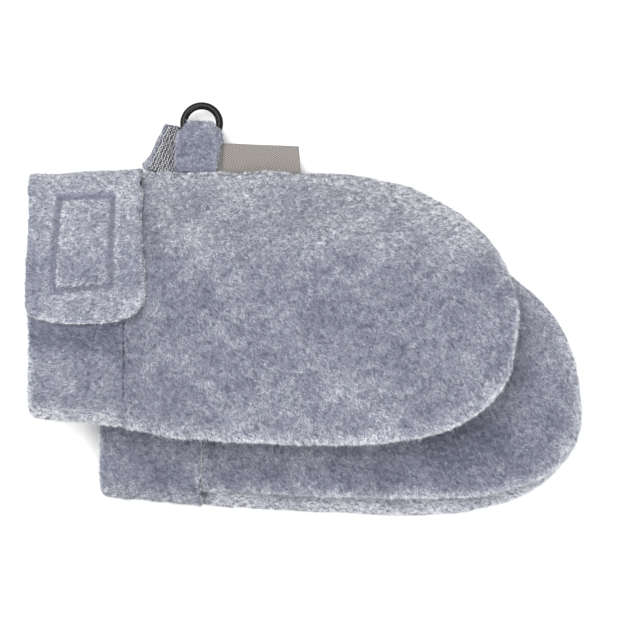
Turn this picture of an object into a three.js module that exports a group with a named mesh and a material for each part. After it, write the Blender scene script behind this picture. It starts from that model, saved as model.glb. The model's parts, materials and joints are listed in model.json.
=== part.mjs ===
// A pair of baby mittens in thick heathered fleece, laid flat, the upper one across the lower one.
// Each mitten is a front and a back panel, sewn together round the edge, with a folded cuff band
// and a closing tab that comes round from the back. The upper mitten also shows the underlap with
// its loop tape, a hanging loop that holds a ring, and a plain folded label.
import * as THREE from "three";

// Sizes are in mm. x runs from the cuffs to the tips, y towards the closing edge, z up.
const CLOTH = 2; // fleece wall
const GAP = 0.3; // between pieces at a seam
const SEAM_HEIGHT = 6; // side seam above the mitten's own underside
const SEAM_ALLOWANCE = 3; // turned in behind the side seam
const ALLOWANCE_CLOTH = 1.5; // its wall, pressed thinner than the rest
const CROWN = 0.9; // rise of the front panel from its rolled edge to its middle
const CROWN_SHARE = 0.65; // share of the way to the middle in which it rises
const CUFF_HEIGHT = 11; // outside height of the flattened cuff
const CUFF_FOLD = 6; // half width of the cuff's folded edge
const CUFF_BLEND = 25; // distance in which the body grows from the cuff's height to its own
const SEAM_GROOVE = 0.9; // depth of the soft trough at the cuff seam
const SEAM_GROOVE_WIDTH = 2;
const TAB_WRAP = 6; // half width of the tab's turn round the closing edge
const BACK_END = 9; // the back of the cuff stops this far inside the closing edge
const FRONT_END = 6.5; // and its front stops here, under the tab
const STITCH_DEPTH = 0.7; // stitched rectangle on the tab
const STITCH_WIDTH = 1.4;
const STITCH_LEAN_RUN = 3.3; // beside the leaning stitches, the tab's points lean less over this run
const OPEN_EDGE_THINNED = 0.22; // share of its wall by which the cuff's open edge is rounded in
const CUFF_CORNER = 1.5; // the cuff's open end runs in by this much at its lower edge
const CUFF_CORNER_RUN = 1.5;

// How the upper mitten lies on the lower one.
const REST = 13; // its underside above the ground where the lower body holds it up
const TAB_REST = 14; // and where the lower tab does
const TAB_REST_START = -12;
const TAB_REST_RUN = 14;
const HOLD = 6; // it begins to fall this far inside the lower mitten's edge
const DROOP = 26; // and meets the ground this far outside it
const CUFF_SAG = 0.1; // share of its height that the free cuff end loses
const SAG_START = -66;
const SAG_RUN = 20;

// One row for each mitten: the cuff's open end, the cuff seam, the start of the rounded tip and
// the tip along x; the lean of the seam towards the tip at the closing edge; the closing edge,
// the bottom of the cuff's open end and of its seam end along y; the front's outside height; the
// half widths of the front's and the back's rolled edges; the surface that the mitten lies on;
// the columns of points between rolled edge and middle; soft dents in the front.
const mittens = {
  upper: {
    openEnd: -84.2, cuffSeam: -55.5, tipStart: -3, tip: 62.5, lean: 4.5,
    closing: 42, cuffBottom: -32.9, cuffSeamBottom: -35.2, top: 11.6, frontRoll: 6, backRoll: 4,
    base: upperBase, columns: [0.1, 0.21, 0.33, 0.46, 0.6, 0.78, 1],
    dents: [
      { x: 28, y: 14, depth: 0.9, radius: 15 },
      { x: -22, y: 22, depth: 0.8, radius: 12 },
      { x: 20, y: -20, depth: -0.5, radius: 14 },
      { x: -36, y: -14, depth: 0.7, radius: 10 },
    ],
  },
  lower: {
    openEnd: -64.1, cuffSeam: -33.2, tipStart: 24, tip: 83.4, lean: 3.5,
    closing: 19.5, cuffBottom: -57.5, cuffSeamBottom: -60.5, top: 11.6, frontRoll: 6, backRoll: 5,
    base: () => 0, columns: [0.15, 0.35, 0.65, 1],
    dents: [
      { x: -44, y: -49, depth: 2.2, radius: 6 },
      { x: -22, y: -47, depth: 1.2, radius: 7 },
      { x: 12, y: -47, depth: 1.3, radius: 8 },
      { x: 46, y: -42, depth: 1.6, radius: 10 },
      { x: 68, y: -40, depth: -0.4, radius: 8 },
    ],
  },
};

// One row for each edge line: its y at the cuff seam and at its full width on the closing side
// and on the lower side, the run in which the lower side takes its full width, the tip's centre
// line, how far the tip stays inside the mitten's, and how full the two quarters of the tip are.
const outlines = {
  upperFront: {
    closingCuff: 42, closing: 38.5, lowerCuff: -35.2, lower: -40.9, lowerSpread: 24,
    centre: 0.6, inset: 0, fullTop: 2, fullLow: 3,
  },
  upperBack: {
    closingCuff: 42, closing: 42.9, lowerCuff: -33.5, lower: -38, lowerSpread: 24,
    centre: 0.6, inset: 0.3, fullTop: 2.17, fullLow: 3,
  },
  lowerFront: {
    closingCuff: 19.5, closing: 20.2, lowerCuff: -55.2, lower: -58.8, lowerSpread: 60,
    centre: -30, inset: 0, fullTop: 2.2, fullLow: 2.75,
  },
  lowerBack: {
    closingCuff: 19.5, closing: 18.5, lowerCuff: -60.1, lower: -64.8, lowerSpread: 50,
    centre: -30, inset: 0.8, fullTop: 2.2, fullLow: 2.55,
  },
};
const GROOVE = 1.3; // depth of the groove along the side seam
const CLOSING_CHANGE = -1.2; // x at which the closing side takes its full width
const CLOSING_CHANGE_RUN = 2.5; // half of the run in which it does so
const SEAM_LEAN_POWER = 1.5; // the cuff seam leans more and more towards the closing edge

// Closing tab: its free end, its right edge at the closing edge and at the free end, how suddenly
// and how far across it that edge slants; how far its left edge stands out at its ends; how much
// higher its right end lies at the closing edge; the radius of its two corners and the bow of its
// end; the rectangle stitched through it, and how much further in the left stitches are at the top
// than at the bottom.
const tab = {
  length: 44.5, rightTop: 33.2, rightEnd: 36, slantPower: 1.5, slantStart: 28, leftOut: 1.1,
  lean: 1.8, cornerRight: 8, cornerLeft: 4, bow: 1.6,
  rectLeft: 8.7, rectRight: 25.4, rectTop: 8.5, rectBottom: 34.7, stitchLean: 1.2,
};

// Small pieces at the closing edge of the upper mitten. rise is the height of a piece's root over
// the seam that it is sewn into. The loop's place and width are given at its root, middle and fold,
// with the run up to the fold in which it narrows. The label slopes down from its root.
const ring = { x: -33.3, y: 57.4, z: 5.8, radius: 5.5, wire: 1.15, tilt: 8 };
const hangLoop = {
  x: -35.2, foldX: -33.4, fold: 58.4, cloth: 1.5, rise: 1.3,
  rootHalf: 6.1, midHalf: 6.7, foldHalf: 3.7, foldRun: 3.4,
};
const label = { x: -14.9, half: 12.1, root: 41.9, fold: 51, cloth: 0.6, slope: 0.08 };
const underlap = {
  x: -45.9, root: 42.3, half: 5.4, reach: 15.4, angle: 23.3, rise: -2.6, flat: 0.9, fall: 5,
  cloth: 1.5, tape: 0.8, leftBorder: 1.3, topBorder: 0.2, cornerClear: 1.6, round: 1,
};

const ROOT_OUT = 0.2; // the hanging loop's root lies this far outside the closing edge

// How many steps each shape has.
const BODY_STATIONS = 7; // along the straight part of a body
const TIP_STATIONS = 9; // round each quarter of its tip
const TIP_SPREAD = 1.2; // power that draws those stations towards the straight part
const CUFF_FRONT_STEPS = 3; // between the tab's end and the cuff's fold
const CUFF_BACK_STEPS = 12;
const CUFF_MARKS = [0.8, 3, 7.8, 14.5, 21, 26]; // rows across the cuff, from its open end
const STRIP_STEPS = 6;
const TONGUE_STEPS = { along: 6, across: 4 };
const RING_STEPS = { wire: 10, round: 32 };
const SAME_POINT = 1e-8; // squared distance under which two points are one

const mix = (a, b, t) => a + (b - a) * t;
const clamp = (t) => Math.min(1, Math.max(0, t));
const smooth = (t) => clamp(t) * clamp(t) * (3 - 2 * clamp(t));
const radians = THREE.MathUtils.degToRad;
const steps = (n) => Array.from({ length: n + 1 }, (_, i) => i / n);
const FOLD_ANGLES = [60, 30, 0, -30, -60].map(radians); // round a fold, between its two faces

// The y of an edge line on its closing and on its lower side.
function closingEdge(line, x) {
  const along = (x - CLOSING_CHANGE + CLOSING_CHANGE_RUN) / (2 * CLOSING_CHANGE_RUN);
  return mix(line.closingCuff, line.closing, smooth(along));
}
function lowerEdge(m, line, x) {
  return mix(line.lower, line.lowerCuff, Math.exp((m.cuffSeam - x) / line.lowerSpread));
}

// The cuff seam leans towards the tip on the closing side.
function seamX(m, y) {
  const middle = (m.closing + m.cuffSeamBottom) / 2;
  const up = clamp((y - middle) / (m.closing - middle));
  return m.cuffSeam + m.lean * Math.pow(up, SEAM_LEAN_POWER);
}

// Stations round a body from the closing end of the cuff seam, round the tip, to its lower end.
// Each gives the stretch of the outline that it is on and how far along that stretch it lies.
function bodyStations() {
  const straight = steps(BODY_STATIONS);
  const quarter = steps(TIP_STATIONS).slice(1);
  return [
    ...straight.map((t) => ({ stretch: "closing", t })),
    ...quarter.map((t) => ({ stretch: "tipTop", t: Math.pow(t, TIP_SPREAD) })),
    ...quarter.slice(0, -1).map((t) => ({ stretch: "tipLow", t: 1 - Math.pow(1 - t, TIP_SPREAD) })),
    ...straight.map((t) => ({ stretch: "lower", t: 1 - t })),
  ];
}

// The point of an edge line at a station.
function edgePoint(m, line, station) {
  const { stretch, t } = station;
  const top = stretch === "closing" || stretch === "tipTop";
  const edgeAt = (x) => (top ? closingEdge(line, x) : lowerEdge(m, line, x));
  if (stretch.startsWith("tip")) {
    const angle = radians(90 * (top ? t : 1 - t));
    const full = top ? line.fullTop : line.fullLow;
    const x = mix(m.tipStart, m.tip - line.inset, Math.pow(Math.sin(angle), 2 / full));
    return new THREE.Vector2(x, mix(line.centre, edgeAt(x), Math.pow(Math.cos(angle), 2 / full)));
  }
  const x = mix(seamX(m, top ? m.closing : m.cuffSeamBottom) + GAP / 2, m.tipStart, t);
  return new THREE.Vector2(x, edgeAt(x));
}

// The point on a body's centre line that a station's row runs to.
function spinePoint(m, line, { stretch, t }) {
  const x = stretch.startsWith("tip") ? m.tipStart : mix(m.cuffSeam + GAP / 2, m.tipStart, t);
  return new THREE.Vector2(x, line.centre);
}

// Outside height of cuff and body above the mitten's own underside, without and with the soft
// trough at the cuff seam.
const flatHeight = (m, x) => mix(CUFF_HEIGHT, m.top, smooth((x - m.cuffSeam) / CUFF_BLEND));
function topHeight(m, x, y) {
  const past = x - seamX(m, y);
  return flatHeight(m, x) - SEAM_GROOVE * Math.exp(-Math.pow(past / SEAM_GROOVE_WIDTH, 2));
}

function dentDepth(m, x, y) {
  const share = (d) => Math.exp(-Math.pow(Math.hypot(x - d.x, y - d.y) / d.radius, 2));
  return m.dents.reduce((sum, d) => sum + d.depth * share(d), 0);
}

// The seam line lies in a groove behind whichever edge is further in.
function seamLine(name) {
  const front = outlines[name + "Front"];
  const back = outlines[name + "Back"];
  return {
    ...front,
    inset: Math.max(front.inset, back.inset) + GROOVE,
    closingCuff: Math.min(front.closingCuff, back.closingCuff) - GROOVE,
    closing: Math.min(front.closing, back.closing) - GROOVE,
    lowerCuff: Math.max(front.lowerCuff, back.lowerCuff) + GROOVE,
    lower: Math.max(front.lower, back.lower) + GROOVE,
  };
}

const toward = (from, to, distance) => from.clone().add(to.clone().sub(from).setLength(distance));
const at = (p, z) => new THREE.Vector3(p.x, p.y, z);

// Heights of a panel's two faces at its seam and at its far side, and halfway between.
function panelHeights(m, side, edge) {
  const front = side === "Front";
  const inward = front ? -1 : 1;
  const seam = SEAM_HEIGHT - (inward * GAP) / 2;
  const far = front ? topHeight(m, edge.x, edge.y) : 0;
  const seamInside = seam - inward * ALLOWANCE_CLOTH;
  const farInside = far + inward * CLOTH;
  const mid = (seam + far) / 2;
  const midInside = (seamInside + farInside) / 2;
  return { inward, seam, far, seamInside, farInside, mid, midInside };
}

// Rise of the front's face at a share of the way from its rolled edge to its middle.
function crown(m, x, share) {
  return CROWN * smooth(share / CROWN_SHARE) * smooth((x - m.cuffSeam) / CUFF_BLEND);
}

// Angles of the points round a panel's rolled edge: up from the seam, then in over the edge.
const ROLL_UP = [35, 65, 90].map(radians);
const ROLL_IN = [30, 60, 90].map(radians);
// Share of a dent that each point of a row takes, up to the last two of the rolled edge.
const DENT_SHARES = [0, 0, 0, 0, 0, 0.3, 0.75];

// One row of a panel, from its cut edge in the seam, round the rolled edge, to the centre line.
function panelRow(m, name, station, side) {
  const line = outlines[name + side];
  const seam = edgePoint(m, seamLine(name), station);
  const edge = edgePoint(m, line, station);
  const spine = spinePoint(m, line, station);
  const h = panelHeights(m, side, edge);
  const innerEdge = toward(edge, spine, CLOTH);
  const rolledIn = toward(edge, spine, side === "Front" ? m.frontRoll : m.backRoll);
  const allowance = toward(seam, spine, SEAM_ALLOWANCE);
  const outer = [at(allowance, h.seam), at(seam, h.seam)];
  const inner = [at(allowance, h.seamInside), at(seam, h.seamInside)];
  const between = (from, to, share) => from.clone().lerp(to, share);
  for (const a of ROLL_UP) {
    const [out, down] = [Math.sin(a), Math.cos(a)];
    outer.push(at(between(seam, edge, out), mix(h.mid, h.seam, down)));
    inner.push(at(between(seam, innerEdge, out), mix(h.midInside, h.seamInside, down)));
  }
  for (const a of ROLL_IN) {
    const [into, up] = [1 - Math.cos(a), Math.sin(a)];
    outer.push(at(between(edge, rolledIn, into), mix(h.mid, h.far, up)));
    inner.push(at(between(innerEdge, rolledIn, into), mix(h.midInside, h.farInside, up)));
  }
  for (const f of m.columns) {
    const p = between(rolledIn, spine, f);
    const rise = side === "Front" ? topHeight(m, p.x, p.y) + crown(m, p.x, f) : 0;
    outer.push(at(p, rise));
    inner.push(at(p, rise + h.inward * CLOTH));
  }
  if (side === "Front")
    for (const points of [outer, inner])
      for (const [k, p] of points.entries()) p.z -= (DENT_SHARES[k] ?? 1) * dentDepth(m, p.x, p.y);
  return { outer, inner };
}

// A closed solid between rows of paired outer and inner points. Where both ends of the row of
// rows meet at a shared centre line, its last column needs no rim.
function shellGeometry(rows, sharedCentre = false) {
  const positions = [];
  const same = (a, b) => a.distanceToSquared(b) < SAME_POINT;
  const triangle = (a, b, c) => {
    if (!same(a, b) && !same(b, c) && !same(c, a)) positions.push(a, b, c);
  };
  const quad = (a, b, c, d) => {
    triangle(a, b, c);
    triangle(a, c, d);
  };
  const last = rows[0].outer.length - 1;
  for (let i = 0; i + 1 < rows.length; i++) {
    const [r, s] = [rows[i], rows[i + 1]];
    for (let k = 0; k < last; k++) {
      quad(r.outer[k], s.outer[k], s.outer[k + 1], r.outer[k + 1]);
      quad(r.inner[k + 1], s.inner[k + 1], s.inner[k], r.inner[k]);
    }
    quad(r.inner[0], s.inner[0], s.outer[0], r.outer[0]);
    if (!sharedCentre) quad(r.outer[last], s.outer[last], s.inner[last], r.inner[last]);
  }
  const [first, end] = [rows[0], rows[rows.length - 1]];
  for (let k = 0; k < last; k++) {
    quad(first.outer[k], first.outer[k + 1], first.inner[k + 1], first.inner[k]);
    quad(end.inner[k], end.inner[k + 1], end.outer[k + 1], end.outer[k]);
  }
  let volume = 0;
  for (let i = 0; i < positions.length; i += 3)
    volume += positions[i].dot(positions[i + 1].clone().cross(positions[i + 2]));
  return new THREE.BufferGeometry().setFromPoints(volume < 0 ? positions.reverse() : positions);
}

// Lifts every point by the surface that its mitten lies on.
function laidOn(geometry, base) {
  const position = geometry.getAttribute("position");
  for (let i = 0; i < position.count; i++)
    position.setZ(i, position.getZ(i) + base(position.getX(i), position.getY(i)));
  return geometry;
}

function panelGeometry(name, side) {
  const m = mittens[name];
  const rows = bodyStations().map((station) => panelRow(m, name, station, side));
  return laidOn(shellGeometry(rows, true), m.base);
}

// Lines across the tab and along it; the stitched rectangle lies on some of them.
const beside = (line) => [line - STITCH_WIDTH, line, line + STITCH_WIDTH];
const tabMarks = [
  0, 3, ...beside(tab.rectLeft), 15.4, 20.5, ...beside(tab.rectRight), tab.rightEnd - 4, tab.rightEnd,
];
const cornerLines = [5.5, 3, 1, 0].map((fromEnd) => tab.length - fromEnd);
const tabLines = [
  ...beside(tab.rectTop), 13, 16.6, 20.4, 24.6, 29, ...beside(tab.rectBottom), ...cornerLines,
];

// The cuff is a band folded along its lower edge, from its front end under the tab, round the
// fold, to its back end, with rows from the open end to the cuff seam.
function cuffGeometry(name) {
  const m = mittens[name];
  const row = (t, thinned) => {
    const bottom = mix(m.cuffBottom, m.cuffSeamBottom, t);
    const fold = bottom + CUFF_FOLD;
    const corner = (y) => CUFF_CORNER * Math.exp((bottom - y) / CUFF_CORNER_RUN);
    const xAt = (y) => mix(m.openEnd + corner(y), seamX(m, y) - GAP / 2, t);
    const outer = [];
    const inner = [];
    const add = (yo, zo, yi, zi) => {
      const [y1, y2] = [mix(yo, yi, thinned), mix(yi, yo, thinned)];
      const [z1, z2] = [mix(zo, zi, thinned), mix(zi, zo, thinned)];
      outer.push(new THREE.Vector3(xAt(y1), y1, z1));
      inner.push(new THREE.Vector3(xAt(y2), y2, z2));
    };
    const underTab = tabLines.slice(1).map((along) => m.closing - along);
    const past = steps(CUFF_FRONT_STEPS).slice(1).map((f) => mix(m.closing - tab.length, fold, f));
    const topAt = (y) => topHeight(m, xAt(y), y) - dentDepth(m, xAt(y), y);
    for (const y of [m.closing - FRONT_END, ...underTab, ...past]) add(y, topAt(y), y, topAt(y) - CLOTH);
    const half = topAt(fold) / 2;
    for (const a of FOLD_ANGLES)
      add(
        fold - CUFF_FOLD * Math.cos(a), half * (1 + Math.sin(a)),
        fold - (CUFF_FOLD - CLOTH) * Math.cos(a), half + (half - CLOTH) * Math.sin(a),
      );
    for (const f of steps(CUFF_BACK_STEPS)) {
      const y = mix(fold, m.closing - BACK_END, f);
      add(y, 0, y, CLOTH);
    }
    return { outer, inner };
  };
  const length = m.cuffSeam - m.openEnd;
  const rows = CUFF_MARKS.map((mark) => row(mark / length, 0));
  return laidOn(shellGeometry([row(0, OPEN_EDGE_THINNED), ...rows, row(1, 0)]), m.base);
}

// Height of the groove that the stitched rectangle presses into the tab.
function stitchDepth(mark, along) {
  const { rectLeft, rectRight, rectTop, rectBottom } = tab;
  const outside = Math.max(rectLeft - mark, mark - rectRight, rectTop - along, along - rectBottom);
  const inside = Math.min(mark - rectLeft, rectRight - mark, along - rectTop, rectBottom - along);
  const off = outside > 0 ? outside : inside;
  return STITCH_DEPTH * clamp(1 - off / STITCH_WIDTH);
}

// How far in from its corner the tab's rounded outline runs. The arc stops just short of the end.
const ARC_END = 0.97;
function cornerCut(radius, along) {
  const into = clamp((along - tab.length + radius) / radius);
  return radius * (1 - Math.sqrt(1 - into * into * ARC_END));
}

// How far a mark near the left stitches is moved across, as they lean.
function stitchLean(mark, along) {
  const near = clamp((STITCH_WIDTH + STITCH_LEAN_RUN - Math.abs(mark - tab.rectLeft)) / STITCH_LEAN_RUN);
  return tab.stitchLean * near * (0.5 - clamp((along - tab.rectTop) / (tab.rectBottom - tab.rectTop)));
}

// How far the tab's left edge stands out over the cuff's open end: most at its ends.
function leftOut(along) {
  return tab.leftOut * Math.pow(Math.abs((2 * along) / tab.length - 1.1), 1.3);
}

// Place of a mark across the tab: the right edge keeps clear of the body at the back and slants
// on the front, and both lower corners are rounded.
function tabAcross(m, mark, along, y) {
  const clear = seamX(m, y) - GAP / 2 - m.openEnd;
  const slanted = Math.pow(smooth(along / tab.length), tab.slantPower);
  const slant = mix(tab.rightTop, tab.rightEnd, slanted);
  const right = along > 0 ? slant : Math.min(tab.rightTop, clear);
  const shifted = along > 0 ? mark + stitchLean(mark, along) : mark;
  const slanting = clamp((mark - tab.slantStart) / (tab.rightEnd - tab.slantStart));
  const share = (shifted + (right - tab.rightEnd) * slanting) / right;
  const left = cornerCut(tab.cornerLeft, along) - leftOut(along);
  return mix(left, right - cornerCut(tab.cornerRight, along), share);
}

// The tab starts where the cuff's back ends, turns round the closing edge and lies on the front.
function tabGeometry(name) {
  const m = mittens[name];
  const total = CUFF_HEIGHT + GAP + CLOTH;
  const turn = m.closing - TAB_WRAP;
  const row = (mark) => {
    const outer = [];
    const inner = [];
    const add = (along, yo, zo, yi, zi, lifted = 1) => {
      const x = m.openEnd + tabAcross(m, mark, along, yo);
      const down = along / tab.length;
      const bow = tab.bow * smooth(down) * (1 - Math.pow((2 * mark) / tab.rightEnd - 1, 2));
      const lift = lifted * tab.lean * Math.pow(mark / tab.rightEnd, 1.5) * (1 - down) - bow;
      const press = along > 0 ? stitchDepth(mark, along) : 0;
      const rise = along > 0 ? flatHeight(m, x) - CUFF_HEIGHT + crown(m, x, 1) : 0;
      outer.push(new THREE.Vector3(x, yo + lift, zo - press + rise));
      inner.push(new THREE.Vector3(x, yi + lift, zi + rise));
    };
    add(0, m.closing - BACK_END + GAP, 0, m.closing - BACK_END + GAP, CLOTH, 0);
    for (const a of [-Math.PI / 2, ...[...FOLD_ANGLES].reverse(), Math.PI / 2])
      add(
        0, turn + TAB_WRAP * Math.cos(a), (total / 2) * (1 + Math.sin(a)),
        turn + (TAB_WRAP - CLOTH) * Math.cos(a), total / 2 + (total / 2 - CLOTH) * Math.sin(a),
      );
    for (const along of tabLines) {
      const y = m.closing - along;
      add(along, y, total, y, total - CLOTH);
    }
    return { outer, inner };
  };
  return laidOn(shellGeometry(tabMarks.map(row)), m.base);
}

// The lower mitten's outside line, which holds the upper mitten up. Its cuff end is left open, so
// that side lies far away.
const FAR = 300;
function supportOutline() {
  const m = mittens.lower;
  const { lowerFront: front, lowerBack: back } = outlines;
  const points = bodyStations().map((station) => {
    const upper = station.stretch === "closing" || station.stretch === "tipTop";
    return edgePoint(m, upper ? front : back, station);
  });
  return [new THREE.Vector2(-FAR, m.closing), ...points, new THREE.Vector2(-FAR, m.cuffSeamBottom)];
}
const support = supportOutline();

// Distance of a point inside the lower mitten's outside line, below 0 outside it.
function insideSupport(x, y) {
  let nearest = Infinity;
  let inside = false;
  for (let i = 0; i < support.length; i++) {
    const a = support[i];
    const b = support[(i + 1) % support.length];
    const along = clamp(((x - a.x) * (b.x - a.x) + (y - a.y) * (b.y - a.y)) / a.distanceToSquared(b));
    nearest = Math.min(nearest, Math.hypot(x - mix(a.x, b.x, along), y - mix(a.y, b.y, along)));
    if (a.y > y !== b.y > y && x < a.x + ((b.x - a.x) * (y - a.y)) / (b.y - a.y)) inside = !inside;
  }
  return inside ? nearest : -nearest;
}

// The surface that the upper mitten lies on: level over the lower one, then falling to the ground.
function upperBase(x, y) {
  const held = smooth((insideSupport(x, y) + DROOP) / (DROOP + HOLD));
  const rest = mix(REST, TAB_REST, smooth((TAB_REST_START - x) / TAB_REST_RUN));
  return held * rest * (1 - CUFF_SAG * smooth((SAG_START - x) / SAG_RUN));
}

const closingZ = upperBase(label.x, label.root) + SEAM_HEIGHT; // the seam that holds the small pieces

// A strip folded over on itself: front leaf, fold and back leaf, with its place and half width
// along y.
function foldedStrip(xAt, middleZ, legs, halfAt, cloth) {
  const row = (q) => {
    const outer = [];
    const inner = [];
    const add = (y, z, ny, nz) => {
      const across = xAt(y) + halfAt(y) * (2 * q - 1);
      const half = cloth / 2;
      outer.push(new THREE.Vector3(across, y + ny * half, z + nz * half));
      inner.push(new THREE.Vector3(across, y - ny * half, z - nz * half));
    };
    for (const leg of legs) add(leg.y, middleZ(leg.y) + leg.apart, 0, 1);
    const tip = legs[legs.length - 1];
    for (const a of FOLD_ANGLES) {
      const [ny, nz] = [Math.cos(a), Math.sin(a)];
      add(tip.y + tip.apart * ny, middleZ(tip.y) + tip.apart * nz, ny, nz);
    }
    for (const leg of [...legs].reverse()) add(leg.y, middleZ(leg.y) - leg.apart, 0, -1);
    return { outer, inner };
  };
  return shellGeometry(steps(STRIP_STEPS).map(row));
}

// The loop's middle runs down from the seam to the plane of the ring that lies in it.
const ringPlane = (y) => ring.z - (y - ring.y) * Math.tan(radians(ring.tilt));

// Its two leaves lie together at the root and part round the wire.
function hangLoopGeometry() {
  const { fold, rootHalf, midHalf, foldHalf, foldRun, cloth, rise } = hangLoop;
  const overWire = ring.wire + GAP + cloth / 2; // half the distance between the leaves at the wire
  const turn = fold - overWire - cloth / 2;
  const root = mittens.upper.closing + ROOT_OUT;
  const together = (cloth + GAP) / 2;
  const nearWire = ring.y - ring.radius;
  const legs = [
    { y: root, parted: 0 },
    { y: root + 2, parted: 0.2 },
    { y: nearWire - 2.2, parted: 0.85 },
    { y: nearWire - 0.6, parted: 1.07 },
    { y: mix(nearWire, turn, 0.5), parted: 1 },
    { y: turn - 1.2, parted: 1 },
    { y: turn, parted: 1 },
  ].map(({ y, parted }) => ({ y, apart: mix(together, overWire, parted) }));
  const middle = (y) => mix(closingZ + rise, ringPlane(y), smooth((y - root) / (nearWire - root)));
  const half = (y) => {
    const leg = mix(rootHalf, midHalf, smooth((y - root) / (nearWire - root)));
    return mix(leg, foldHalf, smooth((y - turn - overWire + foldRun) / foldRun));
  };
  const place = (y) => mix(hangLoop.x, hangLoop.foldX, smooth((y - root) / (turn - root)));
  return foldedStrip(place, middle, legs, half, cloth);
}

function ringGeometry() {
  return new THREE.TorusGeometry(ring.radius, ring.wire, RING_STEPS.wire, RING_STEPS.round);
}

function labelGeometry() {
  const apart = label.cloth / 2 + GAP / 2;
  const legs = steps(3).map((f) => ({ y: mix(label.root, label.fold - apart, f), apart }));
  const middle = (y) => closingZ - label.slope * (y - label.root);
  return foldedStrip(() => label.x, middle, legs, () => label.half, label.cloth);
}

// The underlap is a tongue that leaves the back's side of the seam at an angle and falls to the
// ground; its left corner starts clear of the tab and its far corners are rounded. from and to are
// a layer's faces as heights over the middle of its cloth.
function tongueGeometry(from, to, leftBorder, topBorder) {
  const angle = radians(underlap.angle);
  const along = new THREE.Vector2(Math.sin(angle), Math.cos(angle));
  const across = new THREE.Vector2(Math.cos(angle), -Math.sin(angle));
  const origin = new THREE.Vector2(underlap.x, underlap.root);
  const row = (q) => {
    const side = mix(-underlap.half + leftBorder, underlap.half, q);
    const start = side * Math.tan(angle) + underlap.cornerClear * clamp(1 - TONGUE_STEPS.across * q);
    const end = underlap.reach - topBorder - underlap.round * Math.pow(2 * q - 1, 6);
    const outer = [];
    const inner = [];
    for (const f of steps(TONGUE_STEPS.along)) {
      const reach = mix(start, end, f);
      const p = origin.clone().addScaledVector(across, side).addScaledVector(along, reach);
      const z = mix(closingZ + underlap.rise, underlap.flat, smooth((p.y - underlap.root) / underlap.fall));
      outer.push(at(p, z + to));
      inner.push(at(p, z + from));
    }
    return { outer, inner };
  };
  return shellGeometry(steps(TONGUE_STEPS.across).map(row));
}

function finish(color, roughness, metalness = 0) {
  return new THREE.MeshStandardMaterial({ color, roughness, metalness });
}
const fleece = finish("#9297a6", 0.95);
const loopTape = finish("#a3a2a7", 0.9);
const ringMetal = finish("#1d1c1b", 0.3, 0.8);
const wovenLabel = finish("#9f9891", 0.7);

const pair = new THREE.Group();
const addPiece = (name, geometry, material) => {
  const piece = new THREE.Mesh(geometry, material);
  piece.name = name;
  pair.add(piece);
  return piece;
};
for (const name of Object.keys(mittens)) {
  addPiece(name + "_back", panelGeometry(name, "Back"), fleece);
  addPiece(name + "_front", panelGeometry(name, "Front"), fleece);
  addPiece(name + "_cuff", cuffGeometry(name), fleece);
  addPiece(name + "_tab", tabGeometry(name), fleece);
}
addPiece("upper_hang_loop", hangLoopGeometry(), fleece);
const ringPiece = addPiece("upper_ring", ringGeometry(), ringMetal);
ringPiece.position.set(ring.x, ring.y, ring.z);
ringPiece.rotation.x = radians(-ring.tilt);
addPiece("upper_label", labelGeometry(), wovenLabel);
const { cloth: tongueCloth, tape: tapeCloth, leftBorder, topBorder } = underlap;
const tongueTop = tongueCloth / 2;
const tapeBottom = tongueTop + GAP;
const tapeGeometry = tongueGeometry(tapeBottom, tapeBottom + tapeCloth, leftBorder, topBorder);
addPiece("upper_underlap", tongueGeometry(-tongueTop, tongueTop, 0, 0), fleece);
addPiece("upper_loop_tape", tapeGeometry, loopTape);

// The origin is under the middle of the whole pair.
const box = new THREE.Box3().setFromObject(pair);
const centre = box.getCenter(new THREE.Vector3());
pair.position.set(-centre.x, -centre.y, -box.min.z);

export default pair;
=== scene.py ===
"""A pair of baby mittens in heathered fleece, laid one across the other on a pale table.

Every cloth piece is a softened, finer copy of its CAD node with short nap on it. Lengths are in
millimetres in this script's own frame, whose origin is the middle of the picture on the table,
with x to the right and y up in the picture.
"""

import json
import math

import bmesh
import bpy
import numpy as np
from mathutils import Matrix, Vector
from mathutils.bvhtree import BVHTree


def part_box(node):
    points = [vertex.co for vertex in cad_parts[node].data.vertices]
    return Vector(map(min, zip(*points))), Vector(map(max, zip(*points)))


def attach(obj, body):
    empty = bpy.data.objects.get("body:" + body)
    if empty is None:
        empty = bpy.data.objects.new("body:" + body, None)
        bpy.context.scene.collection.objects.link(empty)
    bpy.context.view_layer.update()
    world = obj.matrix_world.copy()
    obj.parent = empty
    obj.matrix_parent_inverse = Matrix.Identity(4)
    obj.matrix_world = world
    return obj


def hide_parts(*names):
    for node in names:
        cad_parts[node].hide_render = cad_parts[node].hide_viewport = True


MM = 0.001
PHOTO_WIDTH = 186.0  # what the photograph's frame takes in at MEASURED_AT
MEASURED_AT = 20.0  # height above the table
CAMERA_HEIGHT = 600.0
SENSOR = 36.0
RING_PLACE = (-33.3, 57.4)  # the ring's centre in this script's frame

# Nap: fibres to a square millimetre where it shows fully, and the size of one fibre.
NAP_DENSITY = 20.0
FIBRE_LENGTH = 1.1
FIBRE_WIDTH = 0.2
FIBRE_ROOT = 0.15  # depth of its root under the surface
NAP_ROOM = 0.1  # the cloth under free nap lies this far inside the CAD surface
LENGTHS = (0.6, 1.4)  # shortest and longest fibre, as shares of FIBRE_LENGTH
SWAY = 2.2  # wavelength at which the nap turns one way and the other
SWAY_TURN = 0.42  # how far it does so
CHANCE_TURN = 0.32  # how far one fibre turns away from the next
LIFT = (0.5, 0.22)  # angle between fibre and cloth, and its spread
LIFT_LIMITS = (0.12, 1.2)
LONG_SHARE = 0.05  # share of thin fibres that stand out beyond the others
LONG_TIMES = 1.7
THIN_TIMES = 0.6
TABLE_GAP = 0.02  # fibres stay this far above the table

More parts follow.
